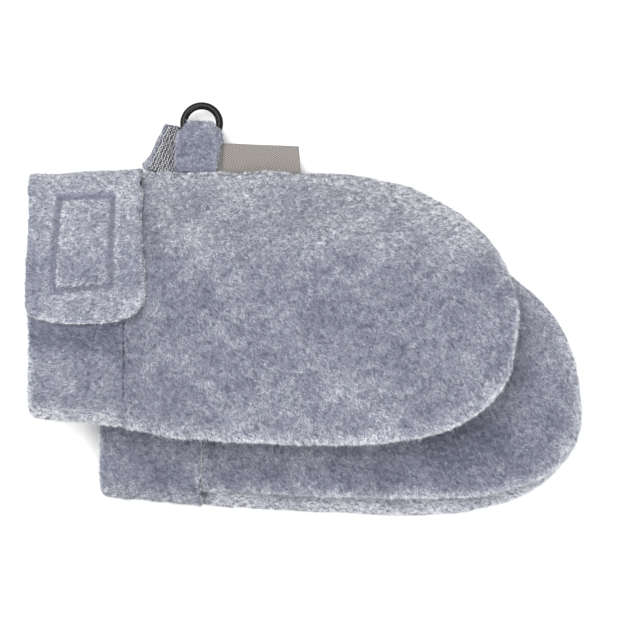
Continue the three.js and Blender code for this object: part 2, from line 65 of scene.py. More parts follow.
# Where the nap is thin or bent by other cloth.
SEAM_REACH = 1.5  # fibres nearer than this to the next piece lean over the seam
SEAM_PULL = 3
STRAIGHT_ABOVE = 0.6  # cloth further round than this isn't beside a fibre but over it
UNDERSIDE_SHARE = 0.3  # of the full nap, where the cloth looks down
FOLD_SHARE = 0.25  # of the full nap, where other cloth is near
FOLD_LOOK = 12  # how far other cloth is looked for
LOOK_FROM = 0.1  # distance from the surface at which that look starts
TOUCHING = 0.05  # cloth nearer than this gives no way to lean
PRESSED_FLAT = 1.3  # nearer than this, cloth is pressed on cloth and has no nap
PRESSED_SIDE = 0.5  # the same at a piece's sides
LEVEL = 0.7  # a surface is a side where its normal rises less than this
STITCH_PRESS = 0.55  # how much shorter the nap is in the tab's seam

# Shade of the nap, in steps.
STREAK = (0.78, 2.8)  # wavelengths of its streaks, across and along them
STREAK_SHADE = 0.72
STREAK_SKEW = 0.3  # dark streaks are deeper than pale ones are pale
STREAK_BEND = 0.35  # how far the streaks wind
CHANCE_SHADE = 0.6  # how much the shade of one fibre differs from that of the next
RIM_POWER = 0.8  # how soon the painted sheen on a rim grows as it slopes
FOLD_SHADE = -2.2  # painted shade deep in the groove between front and back
FOLD_REACH = 1.4  # half width of that groove

# Soft differences of shade over the cloth: wavelength and strength in steps of shade.
CLOUDS = [(3.2, 0.26), (7, 0.2), (18, 0.24)]

# Shades of the yarn, from dark to pale. A fibre's shade is counted in steps along them.
SHADES = {
    "dark": (0.082, 0.089, 0.13),
    "dusk": (0.154, 0.162, 0.212),
    "mid": (0.247, 0.257, 0.313),
    "light": (0.355, 0.367, 0.42),
    "pale": (0.485, 0.498, 0.54),
    "white": (0.63, 0.64, 0.665),
}
BASE_SHADE = 1.87
FLECKS = (0.84, 1.16)  # shares of a shade in its dark and its pale flecks

# One row for each fleece piece: what it lies on, its levels of subdivision, the way its nap lies,
# how long that nap is, how many steps its shade differs, how many steps paler its rims are, and
# the flat size and the area of its cut. The paler rims are a painted sheen. The shade is partly
# painted light too: the backs, whose rolled rims show, are painted paler, and the lower mitten is
# painted darker where it lies in the upper one's shade.
FLEECE = {
    "upper_front": {
        "on": ["upper_back"], "levels": 2, "nap": (0.64, -0.77), "long": 1.0, "shade": 0.0,
        "rim": 3.5, "flat": (0.125, 0.088), "area": 0.0093,
    },
    "upper_back": {
        "on": ["lower_front"], "levels": 2, "nap": (0.64, -0.77), "long": 1.0, "shade": 1.4,
        "rim": 3.0, "flat": (0.125, 0.088), "area": 0.0093,
    },
    "upper_cuff": {
        "on": ["lower_tab"], "levels": 2, "nap": (-1.0, -0.09), "long": 0.9, "shade": -0.1,
        "rim": 4.2, "flat": (0.152, 0.033), "area": 0.0046,
    },
    "upper_tab": {
        "on": ["upper_cuff"], "levels": 2, "nap": (-0.98, -0.17), "long": 0.8, "shade": 0.45,
        "rim": 2.2, "flat": (0.066, 0.037), "area": 0.0024,
    },
    "upper_hang_loop": {
        "on": ["upper_ring"], "levels": 2, "nap": (-1.0, 0.05), "long": 0.8, "shade": 0.1,
        "rim": 1.8, "flat": (0.040, 0.0125), "area": 0.00045,
    },
    "upper_underlap": {
        "on": ["upper_front"], "levels": 2, "nap": (0.3, 0.9), "long": 0.7, "shade": 1.9,
        "rim": 1.4, "flat": (0.018, 0.0112), "area": 0.00016,
    },
    "lower_front": {
        "on": ["lower_back"], "levels": 2, "nap": (0.7, -0.7), "long": 1.0, "shade": -0.35,
        "rim": 3.2, "flat": (0.125, 0.088), "area": 0.0093,
    },
    "lower_back": {
        "on": [], "levels": 1, "nap": (1.0, -0.09), "long": 1.0, "shade": 1.6,
        "rim": 2.8, "flat": (0.125, 0.088), "area": 0.0093,
    },
    "lower_cuff": {
        "on": ["lower_back"], "levels": 2, "nap": (-0.89, 0.45), "long": 0.9, "shade": -0.1,
        "rim": 3.2, "flat": (0.152, 0.033), "area": 0.0046,
    },
    "lower_tab": {
        "on": ["lower_cuff"], "levels": 1, "nap": (-0.98, -0.17), "long": 0.8, "shade": 0.4,
        "rim": 1.6, "flat": (0.066, 0.037), "area": 0.0024,
    },
}

# Soft troughs and ridges in the cloth, and lines and patches of painted shade and light on the nap:
# painted shadow under and beside the tab, at the hang loop's root and where the upper mitten shades
# the lower one, painted shade in seams and dips, and painted light along rims and on raised places.
# Each row gives the pieces, the two ends of its line, its half width, its depth and its change of shade.
BODY = ("upper_front",)
CUFF = ("upper_cuff",)
TAB = ("upper_tab",)
LOOP = ("upper_hang_loop",)
LOWER = ("lower_front", "lower_cuff")
ROLL = ("upper_front", "upper_back")
CREASES_AND_PAINTED_SHADE = [
    {"on": CUFF, "from": (-84, -8.6), "to": (-52, -8.2), "width": 4.2, "depth": 0, "shade": -2.1},
    {"on": CUFF, "from": (-84, -31.5), "to": (-57, -33), "width": 3.6, "depth": 0, "shade": 1.0},
    {"on": CUFF + BODY, "from": (-55.8, -4), "to": (-55.5, -38), "width": 0.9, "depth": 0, "shade": -2.4},
    {"on": CUFF, "from": (-84, -5), "to": (-52, -4.6), "width": 1.6, "depth": 0, "shade": -1.0},
    {"on": CUFF, "from": (-84, -6), "to": (-83.6, -30), "width": 1.7, "depth": 0, "shade": 1.7},
    {"on": CUFF, "from": (-62, -7), "to": (-57, -12), "width": 5, "depth": 0.4, "shade": -0.7},
    {"on": CUFF + BODY, "from": (-54, -3), "to": (-56, -20), "width": 4.6, "depth": 0.3, "shade": -0.9},
    {"on": CUFF + BODY, "from": (-57, -14), "to": (-51, -16), "width": 1.6, "depth": 0.4, "shade": -0.2},
    {"on": CUFF + BODY, "from": (-59, -24), "to": (-52, -25), "width": 1.6, "depth": 0.4, "shade": -0.2},
    {"on": CUFF, "from": (-80, -14), "to": (-70, -19), "width": 4, "depth": 0.4, "shade": 0.2},
    {"on": ROLL, "from": (-48, 40.8), "to": (20, 39.8), "width": 2.4, "depth": 0, "shade": 1.3},
    {"on": ROLL, "from": (20, 39.8), "to": (42, 31), "width": 2.2, "depth": 0, "shade": 1.0},
    {"on": ROLL, "from": (53, 24), "to": (61, 5), "width": 3.5, "depth": 0, "shade": -0.9},
    {"on": ROLL, "from": (61, 5), "to": (58, -16), "width": 3.5, "depth": 0, "shade": -0.9},
    {"on": BODY, "from": (-36, 2), "to": (34, 0), "width": 13, "depth": 0, "shade": -0.3},
    {"on": BODY, "from": (-50.1, 38), "to": (-49.6, 8), "width": 1.2, "depth": 0, "shade": -1.2},
    {"on": BODY, "from": (-47, 29), "to": (-46, 8), "width": 2.2, "depth": 0.2, "shade": -0.7},
    {"on": BODY, "from": (-38, 34), "to": (-16, 20), "width": 6, "depth": 0.5, "shade": -0.4},
    {"on": BODY, "from": (-16, 20), "to": (4, 35), "width": 6, "depth": 0.2, "shade": -0.3},
    {"on": BODY, "from": (-29, 30), "to": (-24, 32), "width": 5, "depth": -0.3, "shade": 0.6},
    {"on": BODY, "from": (0, 22), "to": (15, 6), "width": 6, "depth": -0.2, "shade": 0.3},
    {"on": BODY, "from": (4, 4), "to": (18, -11), "width": 5, "depth": 0.3, "shade": -0.35},
    {"on": BODY, "from": (-20, 0), "to": (-14, 3), "width": 7, "depth": -0.2, "shade": 0.35},
    {"on": BODY, "from": (-22, -21), "to": (-22, -25), "width": 3.5, "depth": 0.3, "shade": -0.5},
    {"on": BODY, "from": (-11, -22), "to": (-11, -25), "width": 3.5, "depth": 0.3, "shade": -0.5},
    {"on": BODY, "from": (6, -24), "to": (18, -25), "width": 6, "depth": -0.2, "shade": 0.3},
    {"on": BODY, "from": (49, 16), "to": (52, 5), "width": 5, "depth": 0.3, "shade": -0.4},
    {"on": BODY, "from": (35, 20), "to": (37, 7), "width": 6, "depth": -0.2, "shade": 0.3},
    {"on": LOWER, "from": (-49, -47), "to": (-44, -50), "width": 5.5, "depth": 0.5, "shade": -1.4},
    {"on": LOWER, "from": (-16, -46), "to": (-11, -47), "width": 6, "depth": 0.4, "shade": -0.6},
    {"on": LOWER, "from": (6, -46), "to": (27, -48), "width": 5.5, "depth": 0.4, "shade": -1.0},
    {"on": LOWER, "from": (38, -40), "to": (56, -39), "width": 6, "depth": 0.4, "shade": -2.3},
    {"on": LOWER, "from": (44, -48), "to": (47, -48.5), "width": 4, "depth": 0.5, "shade": -0.6},
    {"on": LOWER, "from": (66, -8), "to": (74, -26), "width": 8, "depth": -0.2, "shade": 0.4},
    {"on": LOOP, "from": (-41, 42.7), "to": (-29, 42.4), "width": 0.9, "depth": 0, "shade": -2.6},
    {"on": LOOP, "from": (-39, 50), "to": (-31, 46), "width": 1.4, "depth": 0.2, "shade": -0.7},
    {"on": LOOP, "from": (-33, 58.5), "to": (-33.5, 56.5), "width": 1.3, "depth": 0.5, "shade": -0.5},
    {"on": TAB, "from": (-76.2, 5.9), "to": (-58.5, 7.2), "width": 0.9, "depth": 0.2, "shade": -1.2},
    {"on": TAB, "from": (-83, 1), "to": (-52, 1), "width": 3.2, "depth": -0.2, "shade": 0.6},
    {"on": TAB, "from": (-74, 24), "to": (-63, 25), "width": 1.6, "depth": 0.2, "shade": -0.1},
    {"on": TAB, "from": (-72, 17), "to": (-61, 17.5), "width": 1.5, "depth": 0.2, "shade": -0.1},
    {"on": TAB, "from": (-75, 11), "to": (-66, 12), "width": 1.6, "depth": 0.2, "shade": -0.2},
]

# The seam that is stitched through the upper tab, as its four corners.
TAB_STITCHES = [(-75.0, 33.5), (-59.1, 34.5), (-58.5, 7.3), (-76.2, 5.4)]
STITCH_PATH = TAB_STITCHES + TAB_STITCHES[:1]
STITCH_GROOVE = 0.85  # half width of the groove that it pulls in
STITCH_DEPTH = 0.6
# Painted shade in the seam's groove, and a painted highlight beside it.
STITCH_SHADE = -3.0
PILLOW_PLACE = 2.0  # the painted highlight on the puffed cloth stands at this distance from the seam
PILLOW_SHADE = 0.45

# The tab's free edge, whose cut shows pale.
TAB_EDGE = [
    (-84.4, 0.5), (-82.3, -2.7), (-75, -3.9), (-66, -4.2), (-56, -3.5), (-51, -0.6), (-48.6, 4.5),
]
EDGE_PALE = 1.7  # width
EDGE_SHADE = 2.4

# Form of the cloth.
SHARP = math.radians(50)  # an edge that bends more than this is a cut edge
SAME_PLACE = 0.004  # points nearer than this are one
TURNED = 0.3  # a surface looks up or down where its normal does so by more than this
EDGE_CREASE = 0.6  # how tight the cut edges stay
UNEVENNESS = [(16, 0.16), (6, 0.07)]  # its wavelengths and heights
HELD_WITHIN = 0.6  # cloth nearer than this to another piece keeps its place
FREE_FROM = 1.6  # and at this distance it is free

# The underlap's left edge bulges out at its root: where along x it starts and over which run,
# where along y it is, its half width there and how far it goes.
UNDERLAP_BULGE = {"start": -47.0, "run": 3.0, "middle": 45.4, "half": 1.6, "out": 1.5}

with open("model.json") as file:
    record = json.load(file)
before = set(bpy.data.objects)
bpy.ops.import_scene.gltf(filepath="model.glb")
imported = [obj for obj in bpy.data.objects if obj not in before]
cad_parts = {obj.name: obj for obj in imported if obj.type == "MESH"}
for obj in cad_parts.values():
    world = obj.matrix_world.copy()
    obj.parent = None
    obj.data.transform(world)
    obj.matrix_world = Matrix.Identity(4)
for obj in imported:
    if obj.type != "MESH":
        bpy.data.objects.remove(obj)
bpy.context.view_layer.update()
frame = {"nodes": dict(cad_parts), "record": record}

ring_low, ring_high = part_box("upper_ring")
ring_centre = (ring_low + ring_high) / 2
ORIGIN = Vector((ring_centre.x - RING_PLACE[0] * MM, ring_centre.y - RING_PLACE[1] * MM, 0))


def link(obj):
    bpy.context.scene.collection.objects.link(obj)
    return obj


def to_local(points):
    """Row-frame metres to this script's millimetres, for an array of points."""
    return (points - np.array(ORIGIN)) / MM


def to_row(points):
    return points * MM + np.array(ORIGIN)


def field(points, wavelength, seed, waves=24):
    """A smooth random value of spread 1 at each point, made of plane waves of about one length."""
    rng = np.random.default_rng(seed)
    direction = rng.normal(size=(waves, 3))
    direction /= np.linalg.norm(direction, axis=1, keepdims=True)
    number = direction * (2 * math.pi / wavelength) * rng.uniform(0.7, 1.4, (waves, 1))
    phase = rng.uniform(0, 2 * math.pi, waves)
    return np.sin(points @ number.T + phase).sum(1) * math.sqrt(2 / waves)


def unit(vectors):
    return vectors / np.maximum(np.linalg.norm(vectors, axis=1, keepdims=True), 1e-9)


def from_line(points, start, end):
    """Distance of each point from a straight line between two places, seen from above."""
    start, end = np.array(start, float), np.array(end, float)
    along = (points[:, :2] - start) @ (end - start) / max((end - start) @ (end - start), 1e-9)
    nearest = start + np.clip(along, 0, 1)[:, None] * (end - start)
    return np.linalg.norm(points[:, :2] - nearest, axis=1)


# Materials

def principled(name, color, roughness, **weights):
    """A shader with plain values; its other weights are given by the sockets' names."""
    material = bpy.data.materials.new(name)
    material.use_nodes = True
    shader = material.node_tree.nodes["Principled BSDF"]
    shader.inputs["Base Color"].default_value = (*color, 1)
    shader.inputs["Roughness"].default_value = roughness
    for socket, value in weights.items():
        shader.inputs[socket.replace("_", " ")].default_value = value
    return material


def add_node(material, kind, **values):
    """A new node with the given input values; names with a capital are sockets."""
    node = material.node_tree.nodes.new(kind)
    for key, value in values.items():
        if key[0].isupper():
            node.inputs[key.replace("_", " ")].default_value = value
        else:
            setattr(node, key, value)
    return node


def join(material, output, target):
    material.node_tree.links.new(output, target)


def shader_of(material):
    return material.node_tree.nodes["Principled BSDF"]


def ramp_of(material, value, stops):
    """A color ramp over a value; stops are pairs of place and color."""
    ramp = add_node(material, "ShaderNodeValToRGB")
    elements = ramp.color_ramp.elements
    while len(elements) < len(stops):
        elements.new(0.5)
    for element, (place, color) in zip(elements, stops):
        element.position = place
        element.color = (*color, 1)
    join(material, value, ramp.inputs["Fac"])
    return ramp.outputs["Color"]


def noise_of(material, scale, detail=2.0, roughness=0.6):
    place = add_node(material, "ShaderNodeTexCoord")
    noise = add_node(
        material, "ShaderNodeTexNoise", Scale=scale, Detail=detail, Roughness=roughness
    )
    join(material, place.outputs["Object"], noise.inputs["Vector"])
    return noise.outputs["Fac"]


def raise_by(material, height, strength, distance):
    bump = add_node(material, "ShaderNodeBump", Strength=strength, Distance=distance * MM)
    join(material, height, bump.inputs["Height"])
    join(material, bump.outputs["Normal"], shader_of(material).inputs["Normal"])


def speckled(name, dark, light, scale, roughness=0.95, relief=0.0, **weights):
    """A surface of two colors mixed in fine flecks, with a relief that follows them."""
    material = principled(name, light, roughness, **weights)
    fleck = noise_of(material, scale, 4.0, 0.7)
    color = ramp_of(material, fleck, [(0.36, dark), (0.64, light)])
    join(material, color, shader_of(material).inputs["Base Color"])
    if relief:
        raise_by(material, fleck, 0.6, relief)
    return material


def tinted(color, share):
    return tuple(channel * share for channel in color)


fleece = speckled(
    "fleece_ground", (0.07, 0.075, 0.105), (0.17, 0.177, 0.225), 1100, relief=0.35, Sheen_Weight=0.2
)
nap_materials = {}
for shade_name, middle_color in SHADES.items():
    dark_fleck, pale_fleck = (tinted(middle_color, share) for share in FLECKS)
    nap_materials[shade_name] = speckled(
        "nap_" + shade_name, dark_fleck, pale_fleck, 1500, 0.9, Sheen_Weight=0.15
    )


# Cloth pieces

def softened(node, levels, crease=0.0):
    """A finer, rounded copy of a CAD node's mesh, in quads. crease keeps its sharp edges tight."""
    shape = bmesh.new()
    shape.from_mesh(frame["nodes"][node].data)
    bmesh.ops.remove_doubles(shape, verts=shape.verts, dist=SAME_PLACE * MM)
    bmesh.ops.join_triangles(
        shape, faces=shape.faces, angle_face_threshold=SHARP, angle_shape_threshold=SHARP
    )
    if crease:
        layer = shape.edges.layers.float.new("crease_edge")
        for edge in shape.edges:
            if edge.calc_face_angle(0) > SHARP:
                edge[layer] = crease
    coarse = bpy.data.meshes.new(node + "_coarse")
    shape.to_mesh(coarse)
    shape.free()
    obj = link(bpy.data.objects.new(node + "_cloth", coarse))
    finer = obj.modifiers.new("finer", "SUBSURF")
    finer.levels = finer.render_levels = levels
    evaluated = obj.evaluated_get(bpy.context.evaluated_depsgraph_get())
    mesh = bpy.data.meshes.new_from_object(evaluated)
    obj.modifiers.clear()
    obj.data = mesh
    mesh.polygons.foreach_set("use_smooth", [True] * len(mesh.polygons))
    mesh.materials.clear()
    return obj


def vertices(mesh):
    values = np.empty(len(mesh.vertices) * 3, np.float32)
    mesh.vertices.foreach_get("co", values)
    return values.reshape(-1, 3).astype(float)


def normals(mesh):
    values = np.empty(len(mesh.vertices) * 3, np.float32)
    mesh.vertex_normals.foreach_get("vector", values)
    return values.reshape(-1, 3).astype(float)


def triangles(mesh):
    mesh.calc_loop_triangles()
    values = np.empty(len(mesh.loop_triangles) * 3, np.int32)
    mesh.loop_triangles.foreach_get("vertices", values)
    return values.reshape(-1, 3)


def put_vertices(mesh, points):
    mesh.vertices.foreach_set("co", to_row(points).astype(np.float32).ravel())
    mesh.update()


def surface_tree(meshes):
    points, faces = [], []
    for mesh in meshes:
        start = len(points)
        points.extend(to_local(vertices(mesh)).tolist())
        faces.extend((triangles(mesh) + start).tolist())
    return BVHTree.FromPolygons(points, faces, all_triangles=True)


def crease_share(points, crease):
    return np.exp(-((from_line(points, crease["from"], crease["to"]) / crease["width"]) ** 2))


def from_path(points, path):
    return np.min([from_line(points, a, b) for a, b in zip(path, path[1:])], axis=0)


def stitch_share(points, outward):
    """How far each place lies in the groove of the tab's seam, from 0 to 1."""
    nearest = from_path(points, STITCH_PATH)
    return np.exp(-((nearest / STITCH_GROOVE) ** 2)) * (outward[:, 2] > TURNED)


def tab_shade(points, outward):
    """The tab's nap gets painted shade in its seam, a painted highlight beside it, and is palest along
    its cut edge.
    """
    nearest = from_path(points, STITCH_PATH)
    shade = STITCH_SHADE * stitch_share(points, outward)
    shade += PILLOW_SHADE * np.exp(-((nearest - PILLOW_PLACE) ** 2))
    return shade + EDGE_SHADE * np.exp(-((from_path(points, TAB_EDGE) / EDGE_PALE) ** 2))


def free_of_others(points, node):
    """From 0 beside another piece to 1 well away from all."""
    others = surface_tree([o.data for name, o in frame["nodes"].items() if name != node])
    near = [others.find_nearest(Vector(place), FREE_FROM)[3] for place in points]
    run = FREE_FROM - HELD_WITHIN
    return np.array([1 if d is None else min(1, max(0, (d - HELD_WITHIN) / run)) for d in near])


def underlap_bulge(points):
    """How far the underlap's left edge stands out at each place."""
    bulge = UNDERLAP_BULGE
    left = np.clip((bulge["start"] - points[:, 0]) / bulge["run"], 0, 1)
    return bulge["out"] * left * np.exp(-(((points[:, 1] - bulge["middle"]) / bulge["half"]) ** 2))


def rumple(obj, node, seed):
    """Makes a piece's surface slightly uneven, as soft cloth is, and presses its creases in."""
    points = to_local(vertices(obj.data))
    outward = normals(obj.data)
    rise = np.zeros(len(points))
    for number, (wavelength, height) in enumerate(UNEVENNESS):
        rise += height * field(points, wavelength, seed + number)
    rise -= NAP_ROOM * free_of_others(points, node)
    above = np.clip(outward[:, 2], 0, 1)
    for crease in CREASES_AND_PAINTED_SHADE:
        if node in crease["on"]:
            rise -= crease["depth"] * above * crease_share(points, crease)
    if node == "upper_tab":
        rise -= STITCH_DEPTH * stitch_share(points, outward)
    points += outward * rise[:, None]
    if node == "upper_underlap":
        points[:, 0] -= underlap_bulge(points)
    points[:, 2] = np.maximum(points[:, 2], 0)
    put_vertices(obj.data, points)


def dress(piece, node, material):
    """Makes a piece stand for a CAD node."""
    piece.data.materials.append(material)
    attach(piece, "ring" if node == "upper_ring" else "mittens")
    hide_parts(node)


cloth = {}
for number, (node, row) in enumerate(FLEECE.items()):
    cloth[node] = softened(node, row["levels"], EDGE_CREASE)
    rumple(cloth[node], node, 100 + 10 * number)
    dress(cloth[node], node, fleece)


# Yarns: threads and knitted loops as thin tubes

def tube(path, radius, sides=5):
    """Rings of points round a path, and the faces between them, closed at both ends."""
    path = np.asarray(path, float)
    ahead = unit(np.gradient(path, axis=0))
    side = unit(np.cross(ahead, [0.13, 0.21, 1.0]))
    top = np.cross(side, ahead)
    angles = np.arange(sides) * 2 * math.pi / sides
    ring = side[:, None] * np.cos(angles)[:, None] + top[:, None] * np.sin(angles)[:, None]
    points = (path[:, None] + ring * radius).reshape(-1, 3)
    faces = []
    for i in range(len(path) - 1):
        for k in range(sides):
            a, b = i * sides + k, i * sides + (k + 1) % sides
            faces.append((a, b, b + sides, a + sides))
    last = len(points) - sides
    faces.append(tuple(range(sides - 1, -1, -1)))
    faces.append(tuple(range(last, last + sides)))
    return points, faces


def yarn_object(name, paths, radius, material):
    """One mesh of many yarns."""
    points, faces = [], []
    for path in paths:
        more, sides = tube(path, radius)
        faces += [tuple(i + len(points) for i in face) for face in sides]
        points += more.tolist()
    mesh = bpy.data.meshes.new(name)
    mesh.from_pydata(to_row(np.array(points)).tolist(), [], faces)
    mesh.polygons.foreach_set("use_smooth", [True] * len(mesh.polygons))
    mesh.materials.append(material)
    obj = link(bpy.data.objects.new(name, mesh))
    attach(obj, "mittens")
    return obj


def height_at(tree, x, y):
    """Height of the topmost surface at a place, or None beside it."""
    hit = tree.ray_cast(Vector((x, y, 60)), Vector((0, 0, -1)))[0]
    return None if hit is None else hit.z


STITCH_LENGTH = 2.4
THREAD = 0.16  # radius

# Places along one stitch, as shares of its length, and the thread's height there over the cloth.
STITCH_SHAPE = [(0.06, -0.25), (0.25, 0.12), (0.5, 0.2), (0.75, 0.12), (0.94, -0.25)]


def tab_thread():
    """Short stitches in the groove of the tab's seam."""
    tree = surface_tree([cloth["upper_tab"].data])
    paths = []
    for a, b in zip(STITCH_PATH, STITCH_PATH[1:]):
        count = round(math.dist(a, b) / STITCH_LENGTH)
        for i in range(count):
            path = []
            for share, height in STITCH_SHAPE:
                x, y = (a[k] + (b[k] - a[k]) * (i + share) / count for k in (0, 1))
                path.append((x, y, height_at(tree, x, y) + height))
            paths.append(path)
    thread = speckled("thread", (0.12, 0.125, 0.16), (0.2, 0.21, 0.26), 2500, 0.7)
    return yarn_object("upper_tab_stitches", paths, THREAD, thread)


tab_thread()


# Nap

def exposure(centres, outward, tree):
    """Share of the full nap at each place: none where cloth is pressed on cloth, little in a fold."""
    share = np.where(outward[:, 2] < -TURNED, UNDERSIDE_SHARE, 1.0)
    for i, (centre, way) in enumerate(zip(centres + outward * LOOK_FROM, outward)):
        distance = tree.ray_cast(Vector(centre), Vector(way), FOLD_LOOK)[3]
        if distance is not None:
            pressed = PRESSED_SIDE if abs(way[2]) < LEVEL else PRESSED_FLAT
            share[i] = 0 if distance < pressed else min(share[i], FOLD_SHARE)
    return share


def counterpart(node):
    """The panel on the other side of a mitten's side seam."""
    other = node.replace("front", "back") if "front" in node else node.replace("back", "front")
    return other if other != node else None


def nearness(tree, root, reach):
    """The way from each place to the nearest surface and how near that is, from 0 to 1."""
    way = np.zeros_like(root)
    near = np.zeros(len(root))
    for i, place in enumerate(root):
        hit, _, _, distance = tree.find_nearest(Vector(place), reach)
        if hit is not None and distance > TOUCHING:
            way[i] = (np.array(hit) - place) / distance
            near[i] = 1 - distance / reach
    return way, near


def over_seams(node, root, outward):
    """The way in which each fibre leans over a seam to the next piece, and how much it does."""
    skipped = (node, counterpart(node))
    tree = surface_tree([piece.data for name, piece in cloth.items() if name not in skipped])
    way, near = nearness(tree, root, SEAM_REACH)
    return way, near * ((way * outward).sum(1) < STRAIGHT_ABOVE)


def fold_depth(node, root):
    """How deep each fibre stands in the groove between front and back, from 0 to 1."""
    other = counterpart(node)
    if other is None:
        return np.zeros(len(root))
    return nearness(surface_tree([cloth[other].data]), root, FOLD_REACH)[1]


def nap_points(node, tree, rng):
    """Random places on a piece, with their normals, as dense as the nap shows."""
    mesh = cloth[node].data
    points, outward, corners = to_local(vertices(mesh)), normals(mesh), triangles(mesh)
    a, b, c = (points[corners[:, k]] for k in range(3))
    area = np.linalg.norm(np.cross(b - a, c - a), axis=1) / 2
    share = exposure((a + b + c) / 3, unit(outward[corners].sum(1)), tree)
    running = np.cumsum(area * share)
    count = int(running[-1] * NAP_DENSITY)
    chosen = np.searchsorted(running, rng.random(count) * running[-1])
    u, v = np.sqrt(rng.random(count)), rng.random(count)
    weights = np.stack([1 - u, u * (1 - v), u * v], 1)[:, :, None]
    chosen = corners[chosen]
    return (points[chosen] * weights).sum(1), unit((outward[chosen] * weights).sum(1))


def streaks(nap, root, seed):
    """A smooth random value that changes quickly across the nap and slowly along it."""
    ahead = np.array([*nap, 0.0]) / math.hypot(*nap)
    bent = root + STREAK_BEND * np.stack([field(root, 2 * SWAY, seed + k) for k in (1, 2, 3)], 1)
    squeezed = bent - (1 - STREAK[0] / STREAK[1]) * np.outer(bent @ ahead, ahead)
    return field(squeezed, STREAK[0], seed, waves=40)


def nap_shade(node, root, outward, seed):
    """The shade of each fibre, before its own chance difference."""
    row = FLEECE[node]
    slope = np.sqrt(np.clip(1 - outward[:, 2] ** 2, 0, 1))
    # Rims are painted paler as they slope: a painted sheen.
    shade = BASE_SHADE + row["shade"] + row["rim"] * slope**RIM_POWER
    streak = streaks(row["nap"], root, seed + 4)
    shade += STREAK_SHADE * (streak - STREAK_SKEW * (streak**2 - 1))
    for number, (wavelength, strength) in enumerate(CLOUDS):
        shade += strength * field(root, wavelength, seed + 6 + number)
    # Painted shade in the groove between front and back.
    shade += FOLD_SHADE * fold_depth(node, root)
    # Painted shade and light along the rows of the creases table.
    for crease in CREASES_AND_PAINTED_SHADE:
        if node in crease["on"]:
            shade += crease["shade"] * crease_share(root, crease)
    return shade


def fibre_directions(node, root, outward, seam, rng, seed):
    """The way in which each fibre stands; seam is what over_seams gives."""
    count = len(root)
    next_way, near = seam
    sway = np.stack([field(root, SWAY, seed + k) for k in (1, 2, 3)], 1)
    way = np.array([*FLEECE[node]["nap"], 0.0]) + SWAY_TURN * sway
    way += CHANCE_TURN * rng.normal(size=(count, 3))
    way += SEAM_PULL * near[:, None] * next_way
    along = unit(way - outward * (way * outward).sum(1, keepdims=True))
    lift = np.clip(LIFT[0] + LIFT[1] * rng.normal(size=count), *LIFT_LIMITS) * (1 - 0.5 * near)
    return along * np.cos(lift)[:, None] + outward * np.sin(lift)[:, None]


def nap_fibres(node, tree, seed):
    """Three corners of each fibre on a piece, and its shade."""
    rng = np.random.default_rng(seed)
    root, outward = nap_points(node, tree, rng)
    count = len(root)
    seam = over_seams(node, root, outward)
    direction = fibre_directions(node, root, outward, seam, rng, seed)
    long = (rng.random((count, 1)) < LONG_SHARE) * (seam[1][:, None] == 0)
    length = FIBRE_LENGTH * FLEECE[node]["long"] * rng.uniform(*LENGTHS, (count, 1))
    length *= np.where(long, LONG_TIMES, 1)
    shade = nap_shade(node, root, outward, seed) + CHANCE_SHADE * rng.normal(size=count)
    if node == "upper_tab":
        shade += tab_shade(root, outward)
        length *= 1 - STITCH_PRESS * stitch_share(root, outward)[:, None]
    half = unit(np.cross(outward, direction)) * np.where(long, THIN_TIMES, 1) * FIBRE_WIDTH / 2
    base = root - outward * FIBRE_ROOT
    corners = np.stack([base - half, base + half, base + direction * length], 1)
    corners[:, :, 2] = np.maximum(corners[:, :, 2], TABLE_GAP)
    return corners, shade


def fibre_object(name, corners, material):
    mesh = bpy.data.meshes.new(name)
    count = len(corners)
    mesh.vertices.add(count * 3)
    mesh.vertices.foreach_set("co", to_row(corners.reshape(-1, 3)).astype(np.float32).ravel())
    mesh.loops.add(count * 3)
    mesh.loops.foreach_set("vertex_index", np.arange(count * 3, dtype=np.int32))
    mesh.polygons.add(count)
    mesh.polygons.foreach_set("loop_start", np.arange(0, count * 3, 3, dtype=np.int32))
    mesh.update(calc_edges=True)
    mesh.materials.append(material)
    obj = link(bpy.data.objects.new(name, mesh))
    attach(obj, "mittens")
    return obj


def make_nap():
    others = [o.data for n, o in frame["nodes"].items() if n not in cloth]
    tree = surface_tree([o.data for o in cloth.values()] + others)
    for mitten in ("upper", "lower"):
        nodes = [n for n in FLEECE if n.startswith(mitten)]
        made = [nap_fibres(node, tree, 1000 + 50 * list(FLEECE).index(node)) for node in nodes]
        corners = np.concatenate([m[0] for m in made])
        shade = np.concatenate([m[1] for m in made])
        shade = np.clip(shade, 0, len(SHADES) - 0.01).astype(int)
        for number, name in enumerate(SHADES):
            fibre_object(f"{mitten}_nap_{name}", corners[shade == number], nap_materials[name])


make_nap()


# Ring

RING_WIRE = 1.15  # radius
RING_OUTER = 6.65
RING_STEPS = {"round": 128, "wire": 28}


